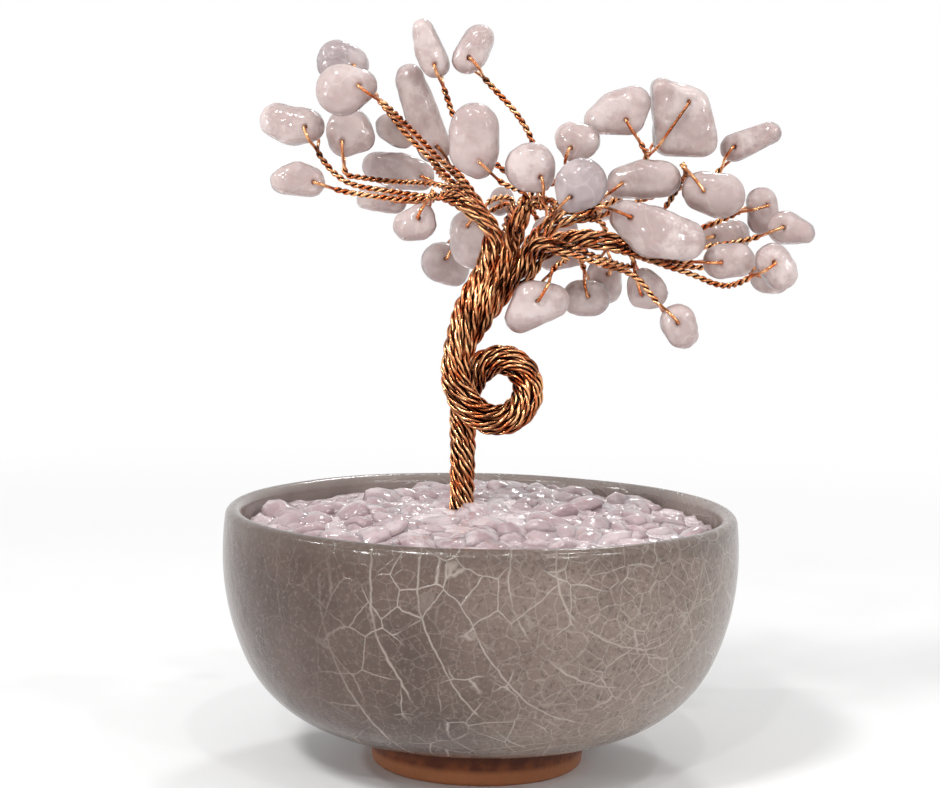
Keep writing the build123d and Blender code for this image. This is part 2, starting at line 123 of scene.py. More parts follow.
# Wire
wire_width = 0.00045
pair_width = 2 * wire_width
pair_gap = 0.00012
pair_pitch = pair_width + pair_gap
pair_turn = 0.0021
slack_turn = 0.0046
line_step = pair_turn / 9
last_step_share = 0.4
trunk_radius = 0.00205
trunk_pairs = 11
trunk_turn = 0.024
trunk_unwound = 0.009
trunk_wander = 0.05
wander_length = 0.006
wander_apart = 3.7
tuck_share = 0.4
tuck_length = 0.002
trunk_foot_height = 0.012
bough_turn = 0.018
unwound = 0.003
draw_in_power = 2.5
slots_turn = 1.1
inside_stride = 6
bundle_side = Vector((0.3, 1, 0.2))
root_spread = 0.45
spread_length = 0.02
bough_lead = 0.0024
twig_lead = 0.0022
bough_gap = 0.0001
shortest_run = 0.002
lasso_length = 0.0013
lasso_clearance = 0.00035
lasso_bend = 0.0007
shoulder_share = 0.36
neck_run = 0.0012
core_width = 0.0022
look_share = 0.75
bore_radius = 0.00026
cad_bore_radius = 0.000475
bore_dip = 0.00012
bore_dip_radius = 0.0009

# Chips
chip_voxel = 0.00026
chip_wear = 6
chip_lump = 0.00028
chip_lump_length = 0.0034
chip_swell = 0.00003
chip_most_proud = 0.00006
chip_dimple = 0.00011
chip_dimple_length = 0.0011
chip_dimple_shift = 1000
chip_swing = radians(12)
far_away = 0.05

# The camera, and the view in which the places below were read
view_place = Vector((-0.0019, -0.304, 0.0823))
view_pitch = radians(5.85)
view_roll = radians(1.12)
view_focal_pixels = 2226
view_centre_pixels = (470, 394)
view_width_pixels = 940
crown_half_depth = 0.020

# The room
floor_reach = 3.0
white = (1, 1, 1, 1)
floor_colour = (0.86, 0.86, 0.86, 1)
floor_roughness = 0.7
fade_start = 0.09
fade_end = 0.36
room_light = 0.4
lamp_aim = Vector((0.005, 0.0, 0.0535))
lamps = [
    ("key_lamp", (-0.25, -0.35, 0.5), 0.09, 1.9),
    ("fill_lamp", (0.4, -0.25, 0.3), 0.09, 0.4),
    ("back_lamp", (0.1, 0.4, 0.45), 0.08, 0.7),
]
spark_size = 0.022
spark_power = 0.32
spark_places = [
    (0.08, -0.3, 0.55), (-0.35, -0.3, 0.12), (0.3, -0.4, 0.2), (-0.1, -0.45, 0.35), (0.25, -0.15, 0.5),
    (-0.4, -0.05, 0.3),
]


def view_directions():
    """Ahead, right and up, as the camera is turned."""
    ahead = Vector((0, cos(view_pitch), -sin(view_pitch)))
    level_up = Vector((0, sin(view_pitch), cos(view_pitch)))
    level_right = Vector((1, 0, 0))
    right = level_right * cos(view_roll) + level_up * sin(view_roll)
    upward = level_up * cos(view_roll) - level_right * sin(view_roll)
    return ahead, right, upward


def seen(x_pixel, y_pixel, depth_share):
    """The point seen at a pixel, at a share of the crown's half depth behind the bowl's axis."""
    ahead, right, upward = view_directions()
    across = (x_pixel - view_centre_pixels[0]) / view_focal_pixels
    up = (view_centre_pixels[1] - y_pixel) / view_focal_pixels
    ray = ahead + right * across + upward * up
    return view_place + ray * ((depth_share * crown_half_depth - view_place.y) / ray.y)


# Places of the tree, read in the view: a pixel across, a pixel down and a depth share
trunk_loop_pixels_share = [
    (463, 446, 0.02), (462, 418, 0.10), (467, 388, 0.12), (482, 364, 0.10), (506, 358, 0.06),
    (526, 373, 0.01), (530, 397, -0.05), (513, 418, -0.10), (489, 421, -0.13), (466, 406, -0.13),
    (455, 382, -0.12), (456, 358, -0.10),
]
upper_trunk_pixels_share = [
    (463, 336, -0.07), (473, 315, -0.04), (484, 295, -0.02), (497, 278, 0.0), (508, 262, 0.0),
]
upper_trunk_width_share = (1.0, 1.2, 1.45, 1.6, 1.7, 2.0)
lower_trunk_width_share = (0.88, 0.88, 0.88, 0.88, 0.88, 0.94, 1.06, 1.1, 1.12, 1.08, 1.0)
crown_lean = radians(20)

# Boughs: the slot on the crown's face, and the places that the bough passes
boughs_pixels_share = {
    "top": (7, [(522, 222, 0.0), (532, 203, 0.02)]),
    "right_far": (0, [(562, 240, 0.0), (592, 238, 0.0), (620, 244, 0.0)]),
    "right_high": (1, [(545, 228, 0.24), (566, 216, 0.30), (586, 214, 0.32)]),
    "back": (2, [(512, 226, 0.34), (516, 212, 0.46)]),
    "left_high": (3, [(484, 216, 0.13), (467, 194, 0.10)]),
    "left_low": (4, [(486, 219, -0.13), (462, 202, -0.13)]),
    "front": (5, [(514, 224, -0.32), (526, 208, -0.40)]),
    "right_low": (6, [(543, 242, -0.28), (559, 248, -0.32)]),
}

# Twigs: the places that each one passes on its way from its bough to its chip
twigs_pixels_share = {
    "left_high": [
        [(440, 168, 0.06), (405, 134, 0.04), (384, 106, 0.02)],
        [(446, 166, -0.06), (412, 130, -0.20), (388, 106, -0.30)],
        [(453, 166, 0.17)],
        [(436, 172, 0.34), (428, 146, 0.50)],
        [(450, 190, 0.46)],
    ],
    "left_low": [
        [(420, 196, -0.06), (380, 190, -0.05), (345, 184, -0.05), (326, 170, -0.05)],
        [(427, 183, 0.11), (390, 182, 0.30), (359, 177, 0.22), (344, 165, 0.17)],
        [(412, 201, -0.17), (370, 196, -0.17), (338, 190, -0.16)],
        [(428, 204, 0.04)],
        [(446, 198, -0.32), (428, 200, -0.36)],
    ],
    "top": [
        [(516, 180, 0.02), (488, 158, 0.0), (458, 130, -0.01), (446, 96, 0.0)],
        [(539, 176, 0.02), (534, 142, -0.06), (518, 114, -0.10), (498, 93, -0.12)],
        [(558, 184, -0.12)],
    ],
    "front": [
        [(505, 186, -0.36)],
        [(542, 200, -0.57)],
        [(556, 201, -0.56), (556, 214, -0.72)],
        [(565, 206, -0.40), (602, 206, -0.37)],
    ],
    "back": [
        [(494, 203, 0.46), (486, 206, 0.42)],
        [(500, 206, 0.62), (462, 224, 0.68)],
        [(512, 214, 0.80)],
        [(546, 202, 0.50)],
        [(525, 196, 0.80), (541, 212, 0.94), (546, 236, 0.86)],
        [(556, 209, 0.84)],
    ],
    "right_high": [
        [(618, 200, 0.36), (640, 178, 0.24), (648, 154, 0.20)],
        [(622, 194, 0.46), (646, 158, 0.44)],
        [(622, 206, 0.50), (680, 188, 0.60), (722, 166, 0.60)],
        [(600, 200, 0.02)],
        [(610, 230, 0.38), (607, 247, 0.40)],
    ],
    "right_far": [
        [(646, 232, 0.06), (668, 204, 0.24), (683, 180, 0.18), (688, 172, -0.06)],
        [(654, 240, 0.18), (705, 228, 0.32), (744, 210, 0.24)],
        [(660, 251, 0.06), (715, 246, 0.06), (760, 236, -0.02)],
        [(652, 262, -0.16), (690, 273, -0.16), (722, 288, -0.26), (750, 276, -0.38)],
        [(655, 263, 0.13), (700, 268, 0.20), (742, 271, 0.08)],
        [(650, 260, -0.02), (694, 262, -0.14)],
        [(652, 250, 0.28), (690, 242, 0.54)],
    ],
    "right_low": [
        [(556, 268, -0.26)],
        [(584, 270, 0.10)],
        [(600, 258, -0.30), (636, 270, -0.10)],
        [(600, 264, -0.36), (636, 274, -0.40), (655, 300, -0.36)],
    ],
}


# Materials
class Finish:
    """A material under construction: its nodes, made and joined by short calls."""

    def __init__(self, name):
        self.material = bpy.data.materials.new(name)
        self.material.use_nodes = True
        self.tree = self.material.node_tree
        self.shader = self.tree.nodes["Principled BSDF"]
        self.object_place = self.add("ShaderNodeTexCoord").outputs["Object"]

    def add(self, kind, **values):
        node = self.tree.nodes.new(kind)
        for key, value in values.items():
            setattr(node, key, value)
        return node

    def put(self, socket, value):
        """Joins a socket to another node's output, or sets it to a plain value."""
        if isinstance(value, bpy.types.NodeSocket):
            self.tree.links.new(value, socket)
        else:
            socket.default_value = value

    def fill(self, node, **values):
        """Joins or sets a node's own sockets, named in plain lower case with underscores."""
        for key, value in values.items():
            self.put(node.inputs[key.replace("_", " ").title().replace("Ior", "IOR")], value)

    def set(self, **values):
        self.fill(self.shader, **values)

    def worked_out(self, kind, operation, values):
        """The outputs of a new node that does one sum with some values."""
        node = self.add(kind, operation=operation)
        for socket, value in zip(node.inputs, values):
            self.put(socket, value)
        return node.outputs

    def maths(self, operation, *numbers):
        return self.worked_out("ShaderNodeMath", operation, numbers)["Value"]

    def vectors(self, operation, *vectors):
        return self.worked_out("ShaderNodeVectorMath", operation, vectors)

    def times(self, first, second):
        return self.maths("MULTIPLY", first, second)

    def cloud(self, scale, detail=3.0, roughness=0.5, place=None):
        """Soft random light and dark around 0.5."""
        node = self.add("ShaderNodeTexNoise")
        self.fill(node, vector=place or self.object_place, scale=scale, detail=detail, roughness=roughness)
        return node.outputs["Fac"]

    def between(self, value, low, high, out_low=0.0, out_high=1.0):
        """A smooth step of a value between two bounds."""
        node = self.add("ShaderNodeMapRange", interpolation_type="SMOOTHSTEP")
        self.fill(node, value=value, from_min=low, from_max=high, to_min=out_low, to_max=out_high)
        return node.outputs["Result"]

    def mix(self, share, first, second):
        """One colour laid over another by a share."""
        node = self.add("ShaderNodeMix", data_type="RGBA")
        self.put(node.inputs["Factor"], share)
        self.put(node.inputs[6], first)
        self.put(node.inputs[7], second)
        return node.outputs[2]

    def moved(self, offset, stretch=(1, 1, 1)):
        node = self.add("ShaderNodeMapping")
        self.fill(node, vector=self.object_place, location=offset, scale=stretch)
        return node.outputs["Vector"]

    def warped(self, place, scale, amount):
        """A place pushed about by a noise, so that straight patterns wander."""
        wander = self.cloud(scale, 2.0, 0.5, place).node.outputs["Color"]
        centred = self.vectors("SUBTRACT", wander, (0.5, 0.5, 0.5))["Vector"]
        scaled = self.vectors("MULTIPLY", centred, (amount, amount, amount))["Vector"]
        return self.vectors("ADD", place, scaled)["Vector"]

    def cracks(self, place, scale, width):
        """1 on the lines between random cells, 0 inside them."""
        node = self.add("ShaderNodeTexVoronoi", feature="DISTANCE_TO_EDGE")
        self.fill(node, vector=place, scale=scale)
        return self.between(node.outputs["Distance"], 0.0, width, 1.0, 0.0)

    def bump(self, height, distance, strength):
        node = self.add("ShaderNodeBump")
        self.fill(node, height=height, distance=distance, strength=strength)
        self.set(normal=node.outputs["Normal"])


def srgb(red, green, blue):
    """A colour as the eye reads it, from 0 to 255, turned into the light that it stands for."""
    def light(value):
        value /= 255
        return value / 12.92 if value <= 0.04045 else ((value + 0.055) / 1.055) ** 2.4
    return (light(red), light(green), light(blue), 1.0)


def quartz_finish(name, through, *tones):
    """Tumbled quartz: milky and clearer clouds, pale healed cracks, shade painted at its sideways-facing rims and
    a polished skin.
    """
    milk, clear, vein, rim = (srgb(*tone) for tone in tones)
    finish = Finish(name)
    colour = finish.mix(finish.between(finish.cloud(250, 5.0, 0.6), 0.4, 0.6), clear, milk)
    stone_by_stone = finish.between(finish.cloud(70, 0.0), 0.42, 0.6, 0.0, 0.6)
    colour = finish.mix(stone_by_stone, colour, clear)
    healed = finish.cracks(finish.warped(finish.object_place, 180, 0.006), 240, 0.04)
    patches = finish.between(finish.cloud(140, 2.0), 0.42, 0.56)
    share = finish.times(finish.times(healed, patches), 0.18)
    colour = finish.mix(share, colour, vein)
    # Painted shade: places that face sideways from the bore's axis are darkened towards the rim tone, standing in
    # for the dark outline at a stone's edges.
    sideways = finish.add("ShaderNodeAttribute", attribute_name="rim").outputs["Fac"]
    colour = finish.mix(finish.between(sideways, 0.5, 1.0, 0.0, 0.7), colour, rim)
    finish.set(base_color=colour)
    finish.set(roughness=finish.between(finish.cloud(900, 2.0), 0.3, 0.7, 0.06, 0.18))
    finish.set(ior=1.46, transmission_weight=through)
    finish.set(subsurface_weight=0.5, subsurface_radius=(1.0, 0.72, 0.68), subsurface_scale=0.0014)
    pits = finish.times(finish.cloud(1700, 1.0), 0.12)
    finish.bump(finish.maths("ADD", finish.cloud(430, 1.0), pits), 0.0004, 0.8)
    return finish.material


def copper_finish():
    """Drawn copper wire: golden on its crests, with shade painted dark brown in the grooves, and warm and
    tarnished stretches.
    """
    finish = Finish("copper_wire")
    warmth = finish.between(finish.cloud(420, 3.0, 0.6), 0.35, 0.65)
    colour = finish.mix(warmth, srgb(190, 98, 54), srgb(250, 190, 136))
    tarnish = finish.between(finish.cloud(260, 3.0), 0.5, 0.68)
    colour = finish.mix(finish.times(tarnish, 0.85), colour, srgb(94, 43, 20))
    # Painted shade: the wire's skin is darkened where it faces another wire, standing in for the shade between the
    # wires.
    painted_groove_shade = finish.add("ShaderNodeAttribute", attribute_name="painted_groove_shade").outputs["Fac"]
    colour = finish.mix(finish.between(painted_groove_shade, 0.03, 0.42, 0.0, 0.92), colour, srgb(54, 21, 10))
    finish.set(base_color=colour, metallic=1.0)
    finish.set(roughness=finish.between(finish.cloud(2200, 2.0), 0.3, 0.7, 0.13, 0.26))
    finish.bump(finish.cloud(5200, 2.0), 0.00004, 0.5)
    return finish.material


def glaze_body(finish, across, rim):
    """The glaze without its cracks: mauve at the left and olive at the right, with dark and pale grain."""
    cloudy = finish.between(finish.cloud(48, 4.0, 0.6), 0.36, 0.64)
    mauve = finish.mix(cloudy, srgb(62, 44, 37), srgb(86, 67, 59))
    olive = finish.mix(cloudy, srgb(114, 97, 88), srgb(134, 117, 107))
    to_right = finish.between(across, *olive_reach)
    colour = finish.mix(to_right, mauve, olive)
    streaks = finish.cloud(90, 3.0, 0.6, finish.moved((0, 0, 0), (1.0, 1.0, 0.25)))
    to_left = finish.between(across, *streaks_reach, 1.0, 0.0)
    streaky = finish.times(finish.between(streaks, 0.5, 0.66), to_left)
    colour = finish.mix(finish.times(streaky, 0.4), colour, srgb(150, 136, 128))
    dark_low = finish.maths("SUBTRACT", 0.53, finish.times(rim, 0.06))
    dark_high = finish.maths("ADD", dark_low, 0.1)
    dark_grain = finish.between(finish.cloud(1500, 3.0, 0.7), dark_low, dark_high, 0.0, 0.6)
    colour = finish.mix(dark_grain, colour, srgb(78, 66, 60))
    pale = finish.mix(to_right, srgb(126, 109, 101), srgb(168, 154, 144))
    pale_grain = finish.cloud(1900, 2.0, 0.7, finish.moved((0.2, 0.4, 0.6)))
    return finish.mix(finish.between(pale_grain, 0.5, 0.7, 0.0, 0.35), colour, pale)


def crackle(finish, across):
    """How strongly the glaze is cracked: broken polygons, sweeping arcs and a faint net between them."""
    rough_edged = finish.warped(finish.object_place, 520, 0.0006)
    polygons = finish.cracks(finish.warped(rough_edged, 60, 0.003), 205, 0.03)
    net = finish.cracks(finish.warped(rough_edged, 150, 0.0016), 430, 0.05)
    out = finish.vectors("DISTANCE", finish.warped(rough_edged, 30, 0.007), arcs_middle)["Value"]
    arcs = finish.between(finish.maths("PINGPONG", out, arcs_step), 0.0, arc_width, 1.0, 0.0)
    arcs = finish.times(arcs, finish.between(out, *arcs_start))
    arcs = finish.times(arcs, finish.between(out, *arcs_end, 1.0, 0.0))
    here = finish.between(finish.cloud(115, 2.0), 0.4, 0.52)
    there = finish.between(finish.cloud(100, 2.0, 0.5, finish.moved((0.5, 0.3, 0.1))), 0.4, 0.52)
    arcs = finish.times(arcs, there)
    strong = finish.maths("MAXIMUM", finish.times(polygons, here), arcs)
    faint = finish.times(net, finish.between(across, *net_reach, 0.22, 0.65))
    past_left = finish.between(across, *cracks_reach, 0.12, 1.0)
    return finish.times(finish.maths("MAXIMUM", strong, faint), past_left)


def inner_wall_painted_light(finish, height):
    """Where light is painted on the bowl's inner wall: 1 on the wall above the resin, and 0 elsewhere."""
    level = finish.vectors("MULTIPLY", finish.object_place, (1, 1, 0))["Vector"]
    from_axis = finish.vectors("LENGTH", level)["Value"]
    wall_middle = bowl_radius - 0.6 * bowl_wall
    inside = finish.between(from_axis, wall_middle - wall_fade, wall_middle, 1.0, 0.0)
    return finish.times(inside, finish.between(height, resin_top - waterline_fade, resin_top))


def foot_clay(finish, height):
    """The bare clay of the foot: red-brown, made paler low down by painted light, with the bowl's shadow painted
    dark under the glaze.
    """
    cloudy = finish.between(finish.cloud(600, 4.0), 0.35, 0.65)
    clay = finish.mix(cloudy, srgb(86, 38, 17), srgb(122, 64, 33))
    # Painted light: the clay is made paler towards where the foot stands.
    painted_light_low = finish.between(height, 0.3 * foot_height, 0.5 * foot_height, 0.85, 0.0)
    clay = finish.mix(painted_light_low, clay, srgb(168, 106, 66))
    # Painted shadow: the bowl's shadow is painted dark on the clay under the glaze.
    painted_bowl_shadow = finish.between(height, 0.5 * foot_height, 0.75 * foot_height, 0.0, 0.7)
    return finish.mix(painted_bowl_shadow, clay, srgb(70, 34, 20))


def glaze_finish():
    """Crackle glaze: cloudy grey-mauve with fine pale cracks and sweeping arcs, over a bare clay foot."""
    finish = Finish("crackle_glaze")
    parts = finish.add("ShaderNodeSeparateXYZ")
    finish.put(parts.inputs[0], finish.object_place)
    across, height = parts.outputs["X"], parts.outputs["Z"]
    rim = finish.between(height, bowl_height - rim_band, bowl_height - rim_band / 4)
    colour = glaze_body(finish, across, rim)
    cracked = crackle(finish, across)
    colour = finish.mix(finish.times(cracked, 0.6), colour, srgb(182, 171, 161))
    colour = finish.mix(finish.times(rim, 0.45), colour, srgb(92, 78, 71))
    # Painted light: the inner wall above the resin is lightened, standing in for light that falls on it.
    inside = inner_wall_painted_light(finish, height)
    colour = finish.mix(finish.times(inside, 0.7), colour, srgb(152, 140, 134))
    waver = finish.times(finish.cloud(90, 2.0), glaze_edge_waver)
    above = finish.maths("SUBTRACT", finish.maths("ADD", height, waver), glaze_edge_height)
    bare = finish.between(above, *glaze_edge_fade, 1.0, 0.0)
    finish.set(base_color=finish.mix(bare, colour, foot_clay(finish, height)))
    finish.set(roughness=finish.maths("ADD", finish.times(bare, 0.4), 0.2))
    finish.set(subsurface_weight=0.15, subsurface_radius=(1.0, 0.8, 0.7), subsurface_scale=0.0012)
    finish.set(ior=1.45, coat_weight=0.15, coat_roughness=0.06)
    relief = finish.maths("ADD", finish.times(cracked, 0.5), finish.cloud(420, 4.0))
    finish.bump(relief, 0.00022, 0.6)
    return finish.material


def resin_finish():
    """Clear casting resin over drowned stones: soft paler stones, darker pink-mauve between them from the resin's
    depth and from painted shade, and a wet skin.
    """
    finish = Finish("clear_resin")
    stones = finish.add("ShaderNodeTexVoronoi", feature="SMOOTH_F1")
    finish.fill(stones, vector=finish.warped(finish.object_place, 200, 0.003), scale=260)
    share = finish.between(stones.outputs["Distance"], 0.15, 0.75)
    # Between the drowned stones the colour darkens: partly the resin's depth and partly shade painted between the
    # stones.
    colour = finish.mix(share, srgb(212, 195, 197), srgb(176, 156, 159))
    finish.set(base_color=colour, roughness=0.06)
    finish.set(subsurface_weight=0.4, subsurface_radius=(1.0, 0.75, 0.75), subsurface_scale=0.002)
    finish.bump(finish.cloud(520, 4.0, 0.6), 0.0009, 0.8)
    return finish.material


def plaster_finish():
    finish = Finish("plaster")
    grain = finish.cloud(900, 3.0)
    colour = finish.mix(grain, srgb(206, 200, 192), srgb(228, 224, 216))
    finish.set(base_color=colour, roughness=0.85)
    finish.bump(grain, 0.0001, 0.5)
    return finish.material


# Quartz by its slot: how much light goes through, and the tones of its milk, clear parts, veins and the shade
# painted at its rims
quartz_looks = {
    "rose_quartz": (0.25, (221, 206, 203), (192, 172, 169), (244, 236, 234), (128, 108, 108)),
    "clear_quartz": (0.4, (220, 207, 206), (182, 167, 168), (246, 240, 238), (120, 108, 110)),
    "smoky_quartz": (0.4, (224, 209, 207), (200, 183, 181), (244, 235, 233), (140, 122, 120)),
    "rose_quartz_gravel": (0.25, (218, 201, 203), (180, 158, 161), (242, 233, 233), (146, 126, 130)),
}
finishes = {slot: quartz_finish(slot, *look) for slot, look in quartz_looks.items()}
finishes |= {
    "copper_wire": copper_finish(),
    "crackle_glaze": glaze_finish(),
    "clear_resin": resin_finish(),
    "plaster": plaster_finish(),
}
slot_of = {entry["node"]: entry["material_slot"] for entry in frame["record"]["subparts"]}


def in_scene(name, data):
    """A new object of the scene, with its mesh, light or camera."""
    thing = bpy.data.objects.new(name, data)
    bpy.context.scene.collection.objects.link(thing)
    return thing


def as_piece(name, mesh, slot, body, *nodes):
    """A finished piece: its mesh, its finish, the body that it rides on and the CAD nodes it stands for."""
    piece = in_scene(name, mesh)
    mesh.materials.clear()
    mesh.materials.append(finishes[slot])
    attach(piece, body)
    if nodes:
        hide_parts(*nodes)


def mesh_from(shape, name):
    """A mesh with smooth shading from a bmesh, which is freed."""
    mesh = bpy.data.meshes.new(name)
    shape.to_mesh(mesh)
    shape.free()
    mesh.shade_smooth()
    return mesh


# Lines of wire
def curve_mesh(curve):
    """The mesh that a curve gives, which takes the curve's place."""
    holder = bpy.data.objects.new(curve.name, curve)
    mesh = bpy.data.meshes.new_from_object(holder)
    bpy.data.objects.remove(holder)
    bpy.data.curves.remove(curve)
    return mesh


def smooth_line(route):
    """Places a steady step apart on the smooth line that the route's points pull into shape."""
    curve = bpy.data.curves.new("route", "CURVE")
    curve.dimensions = "3D"
    curve.resolution_u = 16
    spline = curve.splines.new("NURBS")
    spline.points.add(len(route) - 1)
    for point, place in zip(spline.points, route):
        point.co = (*place, 1.0)
    spline.order_u = 3
    spline.use_endpoint_u = True
    mesh = curve_mesh(curve)
    line = [vertex.co.copy() for vertex in mesh.vertices]
    bpy.data.meshes.remove(mesh)
    return evenly(line)


def evenly(line):
    """The same line with its places a steady step apart, and with its own two ends."""
    kept = [line[0]]
    left = line_step
    for before, after in zip(line, line[1:]):
        run = (after - before).length
        while run > left:
            kept.append(before.lerp(after, left / run))
            before = kept[-1]
            run = (after - before).length
            left = line_step
        left -= run
    if (line[-1] - kept[-1]).length < last_step_share * line_step:
        kept.pop()
    return kept + [line[-1]]


def carried(line, across):
    """Each place of a line with two directions square to it, and how far it is from the line's end.

    The directions start at the end, from the one given, and turn no more than the line itself does.
    """
    last = len(line) - 1
    steps = []
    run = 0.0
    ahead = (line[-1] - line[-2]).normalized()
    for k in range(last, -1, -1):
        if k < last:
            run += (line[k + 1] - line[k]).length
        new_ahead = (line[min(k + 1, last)] - line[max(k - 1, 0)]).normalized()
        across = ahead.rotation_difference(new_ahead) @ across
        ahead = new_ahead
        across = (across - ahead * across.dot(ahead)).normalized()
        steps.append((line[k], across, ahead.cross(across), run))
    return steps[::-1]


def wound_about(line, across, places, turn_length):
    """Lines at places across a line that spread from its root, wind about it and straighten at its end."""
    wound = [[] for place in places]
    steps = carried(line, across)
    whole_run = steps[0][3]
    for middle, aside, beside, run in steps:
        turn = tau * (run - unwound * (1 - exp(-run / unwound))) / turn_length
        spread = min(1.0, root_spread + (whole_run - run) / spread_length)
        for path, (x, y) in zip(wound, places):
            u = (x * cos(turn) - y * sin(turn)) * spread
            v = (x * sin(turn) + y * cos(turn)) * spread
            path.append(middle + aside * u + beside * v)
    return wound


def twisted_pair(line, across, tight_run):
    """The two strands of a pair, twisted tightly for a run from the line's end and loosely before that."""
    strands = ([], [])
    for middle, aside, beside, run in carried(line, across):
        turn = tau * (min(run, tight_run) / pair_turn + max(0.0, run - tight_run) / slack_turn)
        out = (aside * cos(turn) + beside * sin(turn)) * (wire_width / 2)
        strands[0].append(middle + out)
        strands[1].append(middle - out)
    return strands


def wire_mesh(name, strands, widths=None):
    """Round wires along some lines, as one mesh; a line can have a width of its own."""
    curve = bpy.data.curves.new(name, "CURVE")
    curve.dimensions = "3D"
    curve.bevel_depth = wire_width / 2
    curve.bevel_resolution = 1
    curve.use_fill_caps = True
    for k, strand in enumerate(strands):
        spline = curve.splines.new("POLY")
        spline.points.add(len(strand) - 1)
        thickness = (widths or {}).get(k, wire_width) / wire_width
        for point, place in zip(spline.points, strand):
            point.co = (*place, 1.0)
            point.radius = thickness
    mesh = curve_mesh(curve)
    mesh.name = name
    mesh.shade_smooth()
    mark_groove_shade(mesh, strands)
    return mesh


def mark_groove_shade(mesh, strands):
    """Marks how closely each place of a wire's skin faces another wire, for the shade painted between the wires.
    """
    middles = KDTree(sum(len(strand) for strand in strands))
    number = 0
    for strand in strands:
        for place in strand:
            middles.insert(place, number)
            number += 1
    middles.balance()
    own = wire_width * (0.5 + look_share)
    groove_shade_depths = []
    for vertex in mesh.vertices:
        distance = middles.find(vertex.co + vertex.normal * wire_width * look_share)[2]
        groove_shade_depths.append(max(0.0, 1 - distance / own))
    # The value of the painted shade between the wires, at each place.
    painted_groove_shade = mesh.attributes.new("painted_groove_shade", "FLOAT", "POINT")
    painted_groove_shade.data.foreach_set("value", groove_shade_depths)


def packing(count):
    """The pattern of a tight bundle: places in wire pitches, from six up with one in the middle."""
    ring = count if count < 6 else count - 1
    reach = 1 / (2 * sin(pi / ring)) if ring > 1 else 0
    if ring < count:
        reach = max(reach, 1)
    places = [(reach * cos(tau * k / ring), reach * sin(tau * k / ring)) for k in range(ring)]
    return places + [(0, 0)] * (count - ring)


def bundle_width(count):
    x, y = packing(count)[0]
    return 2 * hypot(x, y) * pair_pitch + pair_width


def crown_directions():
    """The crown's face: its two directions across and the one that it looks in."""
    across = Vector((cos(crown_lean), 0, -sin(crown_lean)))
    ahead = Vector((sin(crown_lean), 0, cos(crown_lean)))
    return across, ahead.cross(across), ahead


def bough_slots():
    """Where each bough stands on the crown's face: one in the middle and the others in a ring."""
    slots = {name: slot for name, (slot, places) in boughs_pixels_share.items()}
    middle = max(slots, key=slots.get)
    ring = sorted((slot, name) for name, slot in slots.items() if name != middle)
    widths = [bundle_width(len(twigs_pixels_share[name])) for slot, name in ring]
    total = sum(widths)
    turns = [0.0]
    for width, following in zip(widths, widths[1:]):
        turns.append(turns[-1] + pi * (width + following) / total)
    reach = 0
    for k, width in enumerate(widths):
        chord = (width + widths[k - 1]) / 2 + bough_gap
        reach = max(reach, chord / (2 * sin(pi * (width + widths[k - 1]) / total / 2)))
    places = {name: (reach * cos(turn), reach * sin(turn)) for turn, (slot, name) in zip(turns, ring)}
    places[middle] = (0.0, 0.0)
    return places


def upper_trunk_route():
    return [seen(*trunk_loop_pixels_share[-1])] + [seen(*place) for place in upper_trunk_pixels_share]


def width_at(share, widths):
    """How wide a part of the trunk is, at a share of its length."""
    place = share * (len(widths) - 1)
    k = min(int(place), len(widths) - 2)
    return widths[k] + (widths[k + 1] - widths[k]) * (place - k)


def bough_line(bough):
    """The line of a bough's middle: up inside the flaring trunk, out of the crown and along its places."""
    across, beside, ahead = crown_directions()
    slot = bough_slots()[bough]
    trunk = smooth_line(upper_trunk_route())
    inside = []
    for k, place in enumerate(trunk[:-1]):
        share = k / (len(trunk) - 1)
        draw_in = (width_at(share, upper_trunk_width_share) / upper_trunk_width_share[-1]) ** draw_in_power
        turn = (1 - share) * slots_turn
        x = slot[0] * cos(turn) - slot[1] * sin(turn)
        y = slot[0] * sin(turn) + slot[1] * cos(turn)
        inside.append(place + (across * x + beside * y) * draw_in)
    start = seen(*upper_trunk_pixels_share[-1]) + across * slot[0] + beside * slot[1]
    lead = start + ahead * bough_lead
    outside = [start, lead] + [seen(*place) for place in boughs_pixels_share[bough][1]]
    return inside[::inside_stride], outside


def bough_end(bough):
    """The far end of a bough: its place, the two directions of its bundle's slots, and its direction."""
    outside = bough_line(bough)[1]
    ahead = (outside[-1] - outside[-2]).normalized()
    across = ahead.cross(bundle_side).normalized()
    return outside[-1], across, ahead.cross(across), ahead


def twig_starts(bough):
    """The place of each twig in its bough's bundle, shared out so that each starts on its own side."""
    end, across, beside = bough_end(bough)[:3]
    places = [Vector(place) * pair_pitch for place in packing(len(twigs_pixels_share[bough]))]
    aims = []
    for route in twigs_pixels_share[bough]:
        out = seen(*route[0]) - end
        aims.append(Vector((out.dot(across), out.dot(beside))) * (2 * pair_pitch / out.length))
    costs = [[(place - aim).length_squared for place in places] for aim in aims]
    numbers = range(len(places))
    best = min(permutations(numbers), key=lambda order: sum(costs[k][order[k]] for k in numbers))
    return [places[slot] for slot in best]


def spaced(points):
    """The points without those in between that lie too close to their neighbours for a bend."""
    kept = points[:1]
    for point in points[1:-1]:
        if (point - kept[-1]).length > shortest_run and (points[-1] - point).length > shortest_run:
            kept.append(point)
    return kept + points[-1:]


# Chips, their bores and the wire through each
bores = {}
for joint in frame["joints"]:
    bores[joint["child"]] = (Vector(joint["pos_m"]), Vector(joint["axis"]).normalized())


def merged_copy(node):
    """A node's mesh with its doubled corners merged, as a new shape."""
    shape = bmesh.new()
    shape.from_mesh(frame["nodes"][node].data)
    bmesh.ops.remove_doubles(shape, verts=shape.verts, dist=merge_reach)
    return shape


